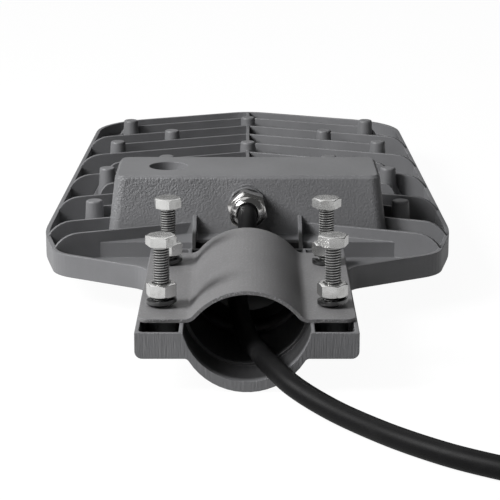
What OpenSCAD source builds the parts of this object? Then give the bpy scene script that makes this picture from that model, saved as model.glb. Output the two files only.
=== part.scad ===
// Pole-mounted LED area light.
// Origin: on the axis of the pole trough, in the plane of its mouth.
// +Y runs from the pole to the tip of the head, +Z is up, all sizes in millimetres.

/* [Pole clamp] */
// Diameter of the half-round trough that takes the pole
bore_d = 60; // [56:1:61]
// Wall under the pole
trough_wall = 5; // [4:0.5:7]
// Drop of the trough's outer curve below the bore's axis
trough_shift = 3.9; // [2:0.1:4.5]
// Depth of the trough, from its mouth to the pole stop
trough_l = 150; // [147:1:153]
// Thickness of the pole stop wall
stop_t = 3; // [2:0.5:5]
// Height of the ribs that the pole rests on
cradle_rise = 1.5; // [1:0.25:2.5]
// Width of one of these ribs
cradle_t = 3; // [2:0.5:5]
// Distance of the first rib from the mouth
cradle_y = 23; // [19:1:28]
// Distance between the ribs
cradle_step = 50; // [44:1:56]
// Height of the levelling step further in
step_rise = 5.4; // [4:0.2:6]
// Distance of this step from the mouth
step_y = 97; // [92:1:102]
// Width across the two ears
ears_w = 102.4; // [101.4:0.2:106]
// Height of an ear
ear_h = 12.2; // [11:0.2:15]
// Drop from the pole axis to the top of the ears
ear_drop = 6.8; // [6:0.2:8]
// Wall of the pocket in an ear
ear_wall = 1.8; // [1.5:0.1:2.6]
// Radius of the lower outer edge of an ear
ear_corner = 3.5; // [2:0.5:5]
// Diameter of the tapped bosses in the ears
boss_d = 14.6; // [13:0.2:16]

/* [Saddle] */
// Width of the saddle plate
saddle_w = 101; // [98:0.5:102]
// Length of the saddle plate along the pole
saddle_l = 121.4; // [112:0.2:126]
// Distance of its front edge from the mouth
saddle_y = 16; // [12:1:22]
// Thickness of the steel sheet
saddle_t = 1.8; // [1.5:0.1:2.5]
// Outer radius of the arch
arch_r = 32.5; // [29:0.5:34]
// Height of the arch above its flanges
arch_rise = 13.5; // [12:0.5:16]
// Radius of the bend between arch and flange
arch_bend = 5; // [3.5:0.5:6]
// Radius of the plate's corners
saddle_corner = 5; // [3:0.5:8]

/* [Clamp fasteners] */
// Distance between the bolts across the pole
bolt_dx = 80.8; // [80:0.2:82]
// Distance between the bolts along the pole
bolt_dy = 77.4; // [72:0.2:82]
// Distance of the front bolts from the mouth
bolt_y = 39; // [34:1:44]
// Thread diameter of the bolts
bolt_d = 8; // [7:0.5:8]
// Length of a bolt under its head
bolt_l = 40; // [38.5:0.5:42]
// Height of the bolt heads above the saddle's flange
bolt_stand = 29.3; // [28.5:0.1:30.5]
// Width across flats of the heads and nuts
hex_af = 13; // [12:0.5:13.5]
// Height of a bolt head
head_h = 5.3; // [4.5:0.1:6]
// Height of a nut
nut_h = 6.5; // [6:0.1:7.5]
// Outer diameter of a spring washer
washer_d = 14.4; // [13:0.2:15]
// Thickness of its coil
washer_t = 2.1; // [1.6:0.1:2.4]
// Height of the open washer
washer_free = 4.7; // [4.4:0.1:5.4]

/* [Head outline] */
// Distance from the trough's mouth to the tip
head_l = 556; // [545:1:575]
// Greatest width
head_w = 224; // [218:1:230]
// Where the head is widest
widest_y = 190; // [185:1:200]
// Width at the near shoulders
shoulder_w = 203.4; // [200:0.2:208]
// Distance of the near shoulders from the mouth
shoulder_y = 144; // [141:1:147]
// Width at the far corners
far_w = 210.4; // [206:0.2:216]
// Distance of the far corners from the mouth
far_y = 513.5; // [505:0.5:520]
// Slope of the near edges, in degrees
near_slope = 30.5; // [28:0.5:33]
// Radius of the tip
tip_r = 30; // [20:1:40]
// Height of the rim wall
rim_h = 12; // [11:0.5:15]
// Thickness of the rim wall
rim_t = 2.3; // [1.8:0.1:3]
// Drop from the pole axis to the top of the rim
rim_drop = 7; // [6:0.5:8]
// Thickness of the head plate
plate_t = 3.5; // [3:0.25:4]
// Drop from the pole axis to the top of the head plate
plate_drop = 14.5; // [13.5:0.5:15]

/* [Fins and bosses] */
// Number of fins
fin_count = 11; // [9:1:11]
// Distance from the mouth to the first fin's apex
fin_first = 197; // [194:1:200]
// Distance between fins
fin_pitch = 29.8; // [28.5:0.1:30.2]
// Thickness of a fin
fin_t = 2; // [1.6:0.1:2.6]
// Sweep of the fins, in degrees
fin_sweep = 22.3; // [20:0.1:24]
// Height of the fins above the pole axis
fin_top = 0; // [-1.5:0.5:1]
// Radius of the long fins' ends, where they come down to the rim
long_end_r = 16; // [12:1:22]
// Half width at which the short fins end
short_end_x = 88.3; // [86:0.1:92]
// Radius of the short fins' ends
short_end_r = 8; // [5:0.5:10]
// Thickness of the spine
spine_t = 2; // [1.6:0.1:3]
// Diameter of a screw boss at its top
stud_d = 9.5; // [9:0.1:11]
// Height of the screw bosses above the pole axis
stud_top = 5; // [3:0.5:7]

/* [Driver box] */
// Width of the box at its top
box_w = 145; // [142:0.5:150]
// Depth of the box at its top
box_d = 52.5; // [52:0.5:56]
// Height of the box above the pole axis
box_top = 25; // [25:0.5:30]
// Distance from the mouth to the rear edge of its top
box_y = 187.5; // [186.5:0.5:188.5]
// Wall of the box
box_wall = 3; // [2.5:0.25:3.5]
// Draft of its ends, in degrees
draft_x = 6.8; // [5:0.2:8]
// Draft of its rear and far walls, in degrees
draft_y = 9.2; // [8:0.2:10]
// Radius of its upright edges
box_r = 6; // [4:0.5:8]
// Bevel around its top
box_edge = 1.5; // [1:0.25:2.5]
// Diameter of the round socket in the top
socket_d = 21.6; // [20:0.2:24]
// Depth of this socket
socket_depth = 6; // [4:0.5:6.5]
// Distance of the socket from the middle
socket_x = 44.1; // [42:0.1:46]
// Distance of the socket from the rear edge of the top
socket_y = 26.8; // [24:0.2:28]
// Width of the shelf behind the clamp
shelf_w = 158; // [150:1:162]
// Distance of the shelf from the mouth
shelf_y = 163.5; // [160:0.5:166]
// Drop from the pole axis to the shelf
shelf_drop = 6; // [5:0.5:8]
// Distance between the two gussets
gusset_dx = 57.2; // [50:0.2:64]
// Thickness of a gusset
gusset_t = 2; // [1.6:0.1:3]
// Height of the gussets above the pole axis
gusset_top = 4; // [2:0.5:6]

/* [Cable gland] */
// Diameter of the cable
cable_d = 10; // [9:0.5:10]
// Height of the gland above the pole axis
gland_z = 9.5; // [9:0.5:10.5]
// Width across flats of the gland
gland_af = 19.5; // [18.5:0.5:20]
// Thread diameter of the gland
gland_thread = 16; // [15.5:0.5:16]
// Length of the gland body's hexagon
gland_hex = 5; // [4:0.5:6]
// Length of the gland cap's hexagon
cap_hex = 7.5; // [6.5:0.5:8]
// Thickness of the lock nut
lock_t = 3; // [2.5:0.5:3.5]

/* [Underside] */
// Thickness of the driver cover
cover_t = 2.5; // [2:0.25:3]
// Thickness of its gasket
gasket_t = 1; // [0.75:0.25:1.5]
// Diameter of the cover and frame screws
screw_d = 4; // [3.5:0.25:4]
// Diameter of their heads
screw_head = 8; // [7:0.25:8]
// Thickness of the lens plates
lens_t = 2; // [1.5:0.25:2.5]
// Radius of a lens dome
dome_r = 8; // [7:0.25:8.5]
// Height of the lens gasket
lens_gap = 4.2; // [4:0.1:5]
// Depth of the frame under the lens plates
frame_t = 2.5; // [2:0.25:3.5]
// Length of the lens windows
window_l = 174; // [172:1:176]
// Width of one lens window
window_w = 65; // [64:0.5:66]
// Distance from the mouth to the middle of the windows
window_y = 377; // [376:0.5:378]
// Width of the bar between the windows
bar_w = 16; // [15:0.5:17]
// Number of lens columns in a window
lens_cols = 3; // [2:1:3]
// Number of lens rows in a window
lens_rows = 8; // [6:1:8]
// Distance between lens columns
lens_pitch = 20.5; // [19:0.25:21]
// Thickness of the LED boards
board_t = 1.6; // [1.2:0.2:2]

/* [LED driver] */
// Length of the driver's case
driver_l = 104; // [96:1:108]
// Depth of the driver's case
driver_d = 32; // [28:1:33]
// Height of the driver's case
driver_h = 27.5; // [24:0.5:28.5]

/* [Hidden] */
$fn = 48;
eps = 0.01;

cast_grey = [0.30, 0.30, 0.31];
zinc = [0.78, 0.78, 0.78];
nickel = [0.72, 0.72, 0.70];
black = [0.05, 0.05, 0.05];

fit_gap = 0.05;       // running clearance of nuts on bolts, and of screws in their holes
screw_gap = 0.25;     // radial clearance of a screw in the piece that it holds
saddle_hole_gap = 0.5;
nut_gap = 0.1;        // between an open spring washer and its nut

// heights, from the pole axis
ear_top = -ear_drop;
ear_low = ear_top - ear_h;
flange_top = ear_top + saddle_t;
rim_top = -rim_drop;
rim_low = rim_top - rim_h;
plate_top = -plate_drop;
plate_low = plate_top - plate_t;
shelf_top = -shelf_drop;
head_z = flange_top + bolt_stand;
bolt_tip = head_z - bolt_l;
nut_z = flange_top + washer_free + nut_gap;
ear_l = trough_l + stop_t;
pocket_low = ear_low + ear_wall;

cover_top = plate_low - gasket_t;
cover_low = cover_top - cover_t;
lens_top = plate_low - lens_gap;
lens_low = lens_top - lens_t;
frame_low = lens_low - frame_t;

// positions of fasteners
bolt_xy = [for (sy = [0, 1], sx = [-1, 1]) [sx * bolt_dx / 2, bolt_y + sy * bolt_dy]];
window_x = bar_w / 2 + window_w;        // outer edge of a window
frame_near = window_y - window_l / 2 - 13;
cover_far = frame_near - 5;
frame_screw_x = window_x + 12;
board_screw_x = bar_w / 2 + window_w / 2 + lens_pitch / 2;
stud_side = [
    [frame_screw_x + 1.2, box_y + 28.9],
    [frame_screw_x + 0.3, window_y - 0.42 * window_l],
    [frame_screw_x - 0.6, window_y + 0.05 * window_l],
    [frame_screw_x - 4.5, window_y + 0.474 * window_l]
];
stud_inner = [
    [board_screw_x, cover_far - 6],
    [board_screw_x, window_y - 0.22 * window_l],
    [board_screw_x, window_y + 0.265 * window_l]
];
stud_mid = [
    [0, window_y - 0.42 * window_l],
    [0, window_y + 0.042 * window_l],
    [0, window_y + 0.538 * window_l]
];
shelf_screw = [shelf_w / 2 - 7, shelf_y + 8];
cover_xy = [for (s = [-1, 1], p = [shelf_screw, stud_side[0], stud_inner[0]]) [s * p.x, p.y]];
frame_xy = concat(
    [for (s = [-1, 1], i = [1:3]) [s * stud_side[i].x, stud_side[i].y]],
    stud_mid
);
board_xy = [for (s = [-1, 1], i = [1:2]) [s * stud_inner[i].x, stud_inner[i].y]];
stud_xy = concat(
    [for (s = [-1, 1], p = stud_side) [s * p.x, p.y]],
    [for (s = [-1, 1], p = stud_inner) [s * p.x, p.y]],
    stud_mid
);

// the driver box's walls at height z
function box_rear(z) = box_y - (box_top - z) * tan(draft_y);
function box_far(z) = box_y + box_d + (box_top - z) * tan(draft_y);
function box_half(z) = box_w / 2 + (box_top - z) * tan(draft_x);

// gland, along the wall's normal
gland_pad_r = gland_af / 2 + 0.3;
lock_r = gland_af / 2 + 1;
gland_seat = box_rear(gland_z - gland_pad_r) - 0.2;
gland_inside = box_rear(gland_z + lock_r) + box_wall + 0.2;
ring_t = 1.2;
body_y = gland_seat - ring_t;          // back of the body's hexagon
body_front = body_y - gland_hex;
cap_y = body_front - 0.3;              // back of the cap
cap_front = cap_y - cap_hex;
dome_l = 3;
thread_end = gland_inside + lock_t + 1;
cable_r = cable_d / 2;

// ---------- points and sweeps ----------

function unit(v) = v / norm(v);

// arc of radius r that rounds the corner q between p and s, in n steps
function corner(p, q, s, r, n) =
    r <= 0 ? [q] :
    let (
        u = unit(p - q),
        v = unit(s - q),
        half = acos(u * v) / 2,
        c = q + unit(u + v) * r / sin(half),
        a = q + u * r / tan(half) - c,
        b = q + v * r / tan(half) - c,
        a0 = atan2(a.y, a.x),
        turn = (atan2(b.y, b.x) - a0 + 540) % 360 - 180
    )
    [for (i = [0:n]) c + r * [cos(a0 + turn * i / n), sin(a0 + turn * i / n)]];

// closed outline through points [x, y, radius, steps]
function rounded(pts) =
    let (m = len(pts), xy = [for (p = pts) [p.x, p.y]])
    [for (i = [0:m - 1])
        each corner(xy[(i + m - 1) % m], xy[i], xy[(i + 1) % m], pts[i][2], pts[i][3])];

// right half of an outline, completed with its mirror image
function mirrored4(pts, middle = []) =
    concat(pts, middle, [for (i = [len(pts) - 1:-1:0]) let (p = pts[i]) [-p.x, p.y, p[2], p[3]]]);

// outline moved inwards by d, for an outline that runs counterclockwise
function inset(pts, d) =
    let (m = len(pts))
    [for (i = [0:m - 1])
        let (
            u = unit(pts[i] - pts[(i + m - 1) % m]),
            v = unit(pts[(i + 1) % m] - pts[i]),
            w = u + v
        )
        pts[i] + d * [-w.y, w.x] * 2 / (w * w)];

// point on a smooth curve through route points
function blend4(a, b, c, d, t) =
    0.5 * (2 * b + (c - a) * t + (2 * a - 5 * b + 4 * c - d) * t * t
        + (3 * b - a - 3 * c + d) * t * t * t);
function curve(route, steps) =
    let (m = len(route))
    [
        for (i = [0:m - 2], k = [0:steps - 1])
            blend4(
                i == 0 ? 2 * route[0] - route[1] : route[i - 1],
                route[i],
                route[i + 1],
                i == m - 2 ? 2 * route[m - 1] - route[m - 2] : route[i + 2],
                k / steps
            ),
        route[m - 1]
    ];

// length of a smooth curve
function path_length(pts, i = 0) =
    i >= len(pts) - 1 ? 0 : norm(pts[i + 1] - pts[i]) + path_length(pts, i + 1);

// round tube along a route, as one closed skin
module tube(route, d, sides, steps, ref = [0, 0, 1], start = undef) {
    pts = curve(route, steps);
    m = len(pts);
    rings = [for (i = [0:m - 1])
        let (
            t = i == 0 && start != undef ? start : unit(pts[min(i + 1, m - 1)] - pts[max(i - 1, 0)]),
            u = unit(cross(t, ref)),
            v = cross(u, t)
        )
        [for (k = [0:sides - 1])
            pts[i] + d / 2 * (cos(360 * k / sides) * u + sin(360 * k / sides) * v)]];
    verts = concat([for (r = rings) each r], [pts[0], pts[m - 1]]);
    skin = [for (i = [0:m - 2], k = [0:sides - 1])
        let (
            a = i * sides + k,
            b = i * sides + (k + 1) % sides,
            c = a + sides,
            e = b + sides
        )
        each [[a, b, e], [a, e, c]]];
    near = [for (k = [0:sides - 1]) [m * sides, (k + 1) % sides, k]];
    far = [for (k = [0:sides - 1])
        [m * sides + 1, (m - 1) * sides + k, (m - 1) * sides + (k + 1) % sides]];
    polyhedron(verts, concat(skin, near, far), convexity = 8);
}

// ---------- outlines ----------

ear_x = ears_w / 2;
near_y = shoulder_y - (shoulder_w / 2 - ear_x) * tan(near_slope);
far_slope = atan((head_l - far_y) / (far_w / 2));
head_pts = rounded(mirrored4([
    [ear_x, near_y - 14, 0, 1],
    [ear_x, near_y, 14, 6],
    [shoulder_w / 2, shoulder_y, 22, 6],
    [head_w / 2, widest_y, 120, 4],
    [far_w / 2, far_y, 50, 8]
], [[0, head_l + tip_r * (1 / cos(far_slope) - 1), tip_r, 6]]));
rim_inner_pts = inset(head_pts, rim_t);

// half width of the rim's inner face at a distance y along the head's side
function rim_half(y) =
    (y < widest_y
        ? shoulder_w / 2 + (head_w - shoulder_w) / 2 * (y - shoulder_y) / (widest_y - shoulder_y)
        : head_w / 2 + (far_w - head_w) / 2 * (y - widest_y) / (far_y - widest_y)) - rim_t / 2;

// where a fin with its apex at y meets the rim, found by closing in on it
function fin_reach(y, x = 105, i = 0) =
    i > 5 ? x : fin_reach(y, rim_half(y - x * tan(fin_sweep)), i + 1);

// rectangle with round corners between two corner points
module round_rect(a, b, r) {
    for (x = [a.x + r, b.x - r], y = [a.y + r, b.y - r])
        translate([x, y]) circle(r);
    translate([a.x + r, a.y]) square([b.x - a.x - 2 * r, b.y - a.y]);
    translate([a.x, a.y + r]) square([b.x - a.x, b.y - a.y - 2 * r]);
}

// outline of a piece along the pole, drawn across it, raised along +Y
module along_y(y0, y1) {
    translate([0, y1, 0]) rotate([90, 0, 0]) linear_extrude(y1 - y0, convexity = 6) children();
}

// ---------- housing ----------

// a fin's side view: straight top, round end that drops to height low at length l
function fin_side(l, r, low) =
    let (
        drop = min(fin_top - low, r),
        run = sqrt(2 * r * drop - drop * drop),
        last = acos(1 - drop / r)
    )
    concat(
        [[0, plate_top - eps], [l, plate_top - eps]],
        fin_top - low > r ? [[l, fin_top - r]] : [],
        [for (i = [5:-1:0])
            [l - run + r * sin(last * i / 5), fin_top - r + r * cos(last * i / 5)]],
        [[0, fin_top]]
    );

module fin_half(apex, reach, r, low) {
    length = reach / cos(fin_sweep);
    translate([0, apex, 0])
        rotate([0, 0, -fin_sweep])
            rotate([90, 0, 0])
                translate([0, 0, -fin_t / 2])
                    linear_extrude(fin_t, convexity = 4)
                        polygon(fin_side(length, r, low));
}

module fins() {
    for (k = [0:fin_count - 1], s = [0, 1]) {
        apex = fin_first + k * fin_pitch;
        short = k > 1 && k % 2 == 0;
        mirror([s, 0, 0])
            if (short)
                fin_half(apex, short_end_x, short_end_r, plate_top);
            else
                fin_half(apex, fin_reach(apex), long_end_r, rim_top);
    }
}

module spine() {
    last_fin = fin_first + (fin_count - 1) * fin_pitch;
    rotate([90, 0, 90])
        translate([0, 0, -spine_t / 2])
            linear_extrude(spine_t)
                polygon([
                    [box_y, plate_top - eps],
                    [head_l - rim_t, plate_top - eps],
                    [head_l - rim_t, rim_top],
                    [last_fin + 20, rim_top + 1],
                    [last_fin + 10, fin_top - 2],
                    [last_fin + 2, fin_top],
                    [box_y, fin_top]
                ]);
}

// tapered screw boss with a broken top edge and a small outward gusset
module stud(x, y) {
    r = stud_d / 2;
    foot = r + 1.3;
    translate([x, y, 0]) {
        rotate_extrude()
            polygon([
                [0, plate_top - eps], [foot, plate_top - eps], [r, stud_top - 1],
                [r - 0.3, stud_top - 0.3], [r - 1, stud_top], [0, stud_top]
            ]);
        if (x != 0)
            mirror([x < 0 ? 1 : 0, 0, 0])
                rotate([90, 0, 0])
                    translate([0, 0, -gusset_t / 2])
                        linear_extrude(gusset_t)
                            polygon([
                                [0, plate_top - eps], [foot + 4, plate_top - eps], [r - 1, rim_top + 4]
                            ]);
    }
}

// the driver box's form, or its hollow when drawn with a wall
module box_form(wall, top, low) {
    r = max(box_r - wall, 1.6);
    bevel = wall > 0 ? 0.8 : box_edge;
    hull()
        for (s = [-1, 1], far = [0, 1], z = [top - bevel, low]) {
            y = far == 1 ? box_far(z) - wall - r : box_rear(z) + wall + r;
            translate([s * (box_half(z) - wall - r), y, z])
                cylinder(h = bevel, r1 = r, r2 = z == low ? r : r - bevel, $fn = 32);
        }
}

// pole trough and the two ears beside it
module clamp_body() {
    outer_r = bore_d / 2 + trough_wall - trough_shift;
    foot_r = 2.5;
    foot_z = ear_low - foot_r;
    foot_x = sqrt(pow(outer_r + foot_r, 2) - pow(foot_z + trough_shift, 2));
    along_y(0, ear_l) {
        difference() {
            translate([0, -trough_shift]) circle(outer_r, $fn = 96);
            translate([-outer_r - 1, ear_top]) square([2 * outer_r + 2, 2 * outer_r]);
        }
        // fillet between the trough and the ear
        for (s = [0, 1])
            mirror([s, 0])
                difference() {
                    polygon([
                        [bore_d / 2 - 4, ear_low + 1], [foot_x, ear_low + 1], [foot_x, foot_z],
                        [foot_x * outer_r / (outer_r + foot_r) - 1, foot_z * outer_r / (outer_r + foot_r)]
                    ]);
                    translate([foot_x, foot_z]) circle(foot_r);
                }
        for (s = [0, 1])
            mirror([s, 0])
                difference() {
                    translate([bore_d / 2 - 6, ear_low]) square([ear_x - bore_d / 2 + 6, ear_h]);
                    difference() {
                        translate([ear_x - ear_corner, ear_low - 1])
                            square([ear_corner + 1, ear_corner + 1]);
                        translate([ear_x - ear_corner, ear_low + ear_corner]) circle(ear_corner);
                    }
                }
    }
}

module clamp_hollows() {
    pocket_r = bore_d / 2 + ear_wall;
    // bore of the trough
    along_y(-1, trough_l) circle(bore_d / 2, $fn = 96);
    // pockets in the ears, open at the top
    difference() {
        for (s = [0, 1])
            mirror([s, 0, 0])
                translate([0, 0, pocket_low])
                    linear_extrude(ear_h + 1)
                        round_rect([0, ear_wall], [ear_x - ear_wall, ear_l - ear_wall], 3);
        along_y(-2, ear_l + 1) circle(pocket_r, $fn = 96);
    }
}

module clamp_details() {
    // ribs that the pole rests on, and the higher step behind them
    for (rib = [[cradle_y, cradle_rise], [cradle_y + cradle_step, cradle_rise], [step_y, step_rise]])
        along_y(rib[0], rib[0] + cradle_t)
            difference() {
                circle(bore_d / 2 + 0.5, $fn = 96);
                circle(bore_d / 2 - rib[1], $fn = 96);
                translate([-bore_d, ear_top - 2]) square([2 * bore_d, bore_d]);
            }
    // tapped bosses for the bolts, with a web to the ear's outer wall
    for (p = bolt_xy)
        difference() {
            union() {
                translate([p.x, p.y, ear_low + 1]) cylinder(h = ear_h - 1, d = boss_d);
                translate([min(p.x, sign(p.x) * (ear_x - 1)), p.y - 1, ear_low + 1])
                    cube([ear_x - 1 - abs(p.x), 2, ear_h - 2]);
            }
            translate([p.x, p.y, bolt_tip - 1]) cylinder(h = bolt_l, r = bolt_d / 2 + fit_gap);
            along_y(p.y - boss_d, p.y + boss_d) circle(bore_d / 2, $fn = 96);
        }
}

module gussets() {
    for (s = [-1, 1])
        translate([s * gusset_dx / 2 - gusset_t / 2, 0, 0])
            rotate([90, 0, 90])
                linear_extrude(gusset_t)
                    polygon([
                        [ear_l - 1, plate_top - eps],
                        [box_rear(plate_top) + 1, plate_top - eps],
                        [box_rear(gusset_top) + 1, gusset_top],
                        [box_rear(gusset_top) - 4, gusset_top - 1],
                        [ear_l - 1, shelf_top - 2]
                    ]);
}

// shelf between the clamp, the first fin and the box
module shelf() {
    half = shelf_w / 2;
    back = box_rear(plate_top) + 2;
    side = (fin_first - back) / tan(fin_sweep);
    translate([0, 0, plate_top - eps])
        linear_extrude(shelf_top - plate_top + eps)
            polygon([
                [-half, shelf_y], [half, shelf_y], [half, fin_first - half * tan(fin_sweep)],
                [side, back], [-side, back], [-half, fin_first - half * tan(fin_sweep)]
            ]);
}

// raised duct over the tunnel that leads the wires to the LED boards
duct_w = 12;
duct_top = plate_top + 5.5;
groove_w = 6;
groove_top = duct_top - 2.5;
tee_y = window_y - window_l / 2 + 1;
tee_l = 5.5;
tee_w = 34;
module wire_duct(grow, top, low, floor) {
    translate([-groove_w / 2 - grow, box_y + box_d - 2, floor])
        cube([groove_w + 2 * grow, tee_y - box_y - box_d + 4, top - floor]);
    translate([-tee_w / 2 - grow, tee_y - grow, low])
        cube([tee_w + 2 * grow, tee_l + 2 * grow, top - low]);
}

module housing() {
    color(cast_grey) {
        difference() {
            union() {
                // head plate and rim wall
                translate([0, 0, plate_low]) linear_extrude(plate_t) polygon(head_pts);
                translate([0, 0, rim_low])
                    linear_extrude(rim_h, convexity = 4)
                        difference() {
                            polygon(head_pts);
                            polygon(rim_inner_pts);
                        }
                fins();
                spine();
                for (p = stud_xy)
                    stud(p.x, p.y);
                box_form(0, box_top, plate_low);
                shelf();
                gussets();
                clamp_body();
                wire_duct(duct_w / 2 - groove_w / 2, duct_top, plate_top - eps, plate_top - eps);
                // flat seat for the gland
                along_y(gland_seat, box_rear(gland_z) + 1)
                    translate([0, gland_z]) circle(gland_pad_r);
            }
            clamp_hollows();
            box_form(box_wall, box_top - box_wall, rim_low);
            wire_duct(0, groove_top, plate_low - 1, plate_low + 1.5);
            // blind screw holes, from below
            for (p = concat(cover_xy, frame_xy, board_xy)) {
                top = p == shelf_screw || abs(p.x) == shelf_screw.x ? shelf_top : stud_top;
                translate([p.x, p.y, plate_low - 1])
                    cylinder(h = top - 2 - plate_low + 1, r = screw_d / 2 + fit_gap);
            }
            // socket in the top of the box
            translate([-socket_x, box_y + socket_y, box_top - socket_depth])
                cylinder(h = socket_depth + 1, d = socket_d);
            gland_hole();
        }
        difference() {
            union() {
                clamp_details();
                box_inside();
            }
            gland_hole();
            translate([-socket_x, box_y + socket_y, box_top - socket_depth])
                cylinder(h = socket_depth + 1, d = socket_d);
            for (p = driver_screw_xy)
                translate([p.x, p.y, driver_top - 1])
                    cylinder(h = stand_h, r = screw_d / 2 + fit_gap);
            translate([terminal_x, gland_inside, terminal_z])
                rotate([90, 0, 0])
                    cylinder(h = 5, r = small_screw_r + fit_gap);
        }
    }
}

module gland_hole() {
    along_y(gland_seat - 1, gland_inside + 1)
        translate([0, gland_z]) circle(gland_thread / 2 + 0.1);
}

// what is cast on the inside of the driver box
stand_h = 6;
stand_r = 4;
driver_top = box_top - box_wall - stand_h;
driver_ear = 12;
driver_y = box_rear(-10) + box_wall + 18;
driver_screw_xy = [for (s = [-1, 1]) [s * (driver_l / 2 + driver_ear / 2 + 1), driver_y + driver_d / 2]];
small_screw_r = 1.5;
terminal_x = -36;
terminal_z = 0.5;
terminal_w = 28;
terminal_d = 10;
terminal_h = 13;
module box_inside() {
    // cup under the socket
    translate([-socket_x, box_y + socket_y, box_top - socket_depth - 2])
        cylinder(h = socket_depth + 2 - box_wall + 1, d = socket_d + 5);
    // standoffs for the driver
    for (p = driver_screw_xy)
        translate([p.x, p.y, driver_top]) cylinder(h = stand_h + 1, r = stand_r);
    // seat of the lock nut
    along_y(box_rear(gland_z) + 1.5, gland_inside)
        translate([0, gland_z]) circle(lock_r + 0.3);
    // seat of the terminal block
    translate([terminal_x - 9, box_rear(terminal_z) + 1.5, terminal_z - 4.5])
        cube([18, gland_inside - box_rear(terminal_z) - 1.5, 9]);
}

// ---------- clamp ----------

// outer side of the saddle's right half, from the crest to the edge of the flange,
// drawn d inside the sheet
function saddle_side(d) =
    let (
        cz = flange_top + arch_rise - arch_r,
        bend_z = flange_top + arch_bend,
        bend_x = sqrt(pow(arch_r + arch_bend, 2) - pow(bend_z - cz, 2)),
        turn = atan2(bend_x, bend_z - cz)
    )
    concat(
        [for (i = [0:14]) [(arch_r - d) * sin(turn * i / 14), cz + (arch_r - d) * cos(turn * i / 14)]],
        [for (i = [4:-1:0])
            [bend_x - (arch_bend + d) * sin(turn * i / 5), bend_z - (arch_bend + d) * cos(turn * i / 5)]],
        [[saddle_w / 2, flange_top - d]]
    );

module saddle() {
    outer = saddle_side(0);
    inner = saddle_side(saddle_t);
    section = concat(
        [for (p = outer) p],
        [for (i = [len(inner) - 1:-1:0]) inner[i]],
        [for (i = [1:len(inner) - 1]) [-inner[i].x, inner[i].y]],
        [for (i = [len(outer) - 1:-1:1]) [-outer[i].x, outer[i].y]]
    );
    color(cast_grey)
        difference() {
            intersection() {
                along_y(saddle_y, saddle_y + saddle_l) polygon(section);
                translate([0, 0, ear_top - 1])
                    linear_extrude(arch_rise + saddle_t + 4)
                        round_rect(
                            [-saddle_w / 2, saddle_y],
                            [saddle_w / 2, saddle_y + saddle_l],
                            saddle_corner
                        );
            }
            for (p = bolt_xy)
                translate([p.x, p.y, ear_top - 1])
                    cylinder(h = saddle_t + 2, r = bolt_d / 2 + saddle_hole_gap);
        }
}

// hexagon with the corners of one or both faces broken
module hex_block(af, h, both) {
    cut = af * 0.06;
    intersection() {
        rotate([0, 0, 15]) cylinder(h = h, d = af / cos(30), $fn = 6);
        union() {
            translate([0, 0, both ? cut : 0]) cylinder(h = h - (both ? 2 : 1) * cut, d = af / cos(30) + 0.1);
            translate([0, 0, h - cut]) cylinder(h = cut, d1 = af / cos(30) + 0.1, d2 = af * 0.97);
            if (both)
                cylinder(h = cut, d1 = af * 0.97, d2 = af / cos(30) + 0.1);
        }
    }
}

module clamp_bolts() {
    color(zinc)
        for (p = bolt_xy)
            translate([p.x, p.y, 0]) {
                translate([0, 0, head_z]) hex_block(hex_af, head_h, false);
                translate([0, 0, bolt_tip]) cylinder(h = bolt_l + eps, d = bolt_d);
            }
}

module nut(p) {
    color(zinc)
        translate([p.x, p.y, nut_z])
            difference() {
                rotate([0, 0, 12]) hex_block(hex_af, nut_h, true);
                translate([0, 0, -1]) cylinder(h = nut_h + 2, r = bolt_d / 2 + fit_gap);
            }
}
module nut_front_left() { nut(bolt_xy[0]); }
module nut_front_right() { nut(bolt_xy[1]); }
module nut_rear_left() { nut(bolt_xy[2]); }
module nut_rear_right() { nut(bolt_xy[3]); }

// one open turn of square wire
module spring_washer() {
    steps = 20;
    r0 = bolt_d / 2 + 0.3;
    r1 = washer_d / 2;
    rise = washer_free - washer_t;
    verts = [for (i = [0:steps])
        let (a = 6 + 348 * i / steps, z = rise * i / steps)
        each [
            [r0 * cos(a), r0 * sin(a), z],
            [r1 * cos(a), r1 * sin(a), z],
            [r1 * cos(a), r1 * sin(a), z + washer_t],
            [r0 * cos(a), r0 * sin(a), z + washer_t]
        ]];
    skin = [for (i = [0:steps - 1], k = [0:3])
        let (a = 4 * i + k, b = 4 * i + (k + 1) % 4)
        each [[a, a + 4, b + 4], [a, b + 4, b]]];
    last = 4 * steps;
    ends = [[0, 1, 2], [0, 2, 3], [last, last + 2, last + 1], [last, last + 3, last + 2]];
    polyhedron(verts, concat(skin, ends), convexity = 4);
}

module spring_washers() {
    color(zinc)
        for (p = bolt_xy)
            translate([p.x, p.y, flange_top]) rotate([0, 0, p.y > bolt_y ? 150 : 60]) spring_washer();
}

// ---------- cable gland ----------

// ring around the gland's axis, between two distances from the mouth
module gland_ring(y0, y1, r_out, r_in) {
    along_y(y0, y1)
        translate([0, gland_z])
            difference() {
                circle(r_out);
                circle(r_in);
            }
}

module gland_hex_block(y0, y1) {
    translate([0, y1, gland_z]) rotate([90, -28, 0]) hex_block(gland_af, y1 - y0, false);
}

collar_r = gland_thread / 2 - 0.6;
seal_r = collar_r - 0.8;
module gland_body() {
    color(nickel)
        difference() {
            union() {
                gland_hex_block(body_front, body_y);
                gland_ring(body_y - eps, thread_end, gland_thread / 2, cable_r + 0.3);
                gland_ring(body_front - cap_hex + 1, body_front + eps, collar_r, cable_r + 0.3);
            }
            along_y(body_front - cap_hex, body_y + 1)
                translate([0, gland_z]) circle(seal_r);
            along_y(body_front - cap_hex, thread_end + 1)
                translate([0, gland_z]) circle(cable_r + 0.3);
        }
}

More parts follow.
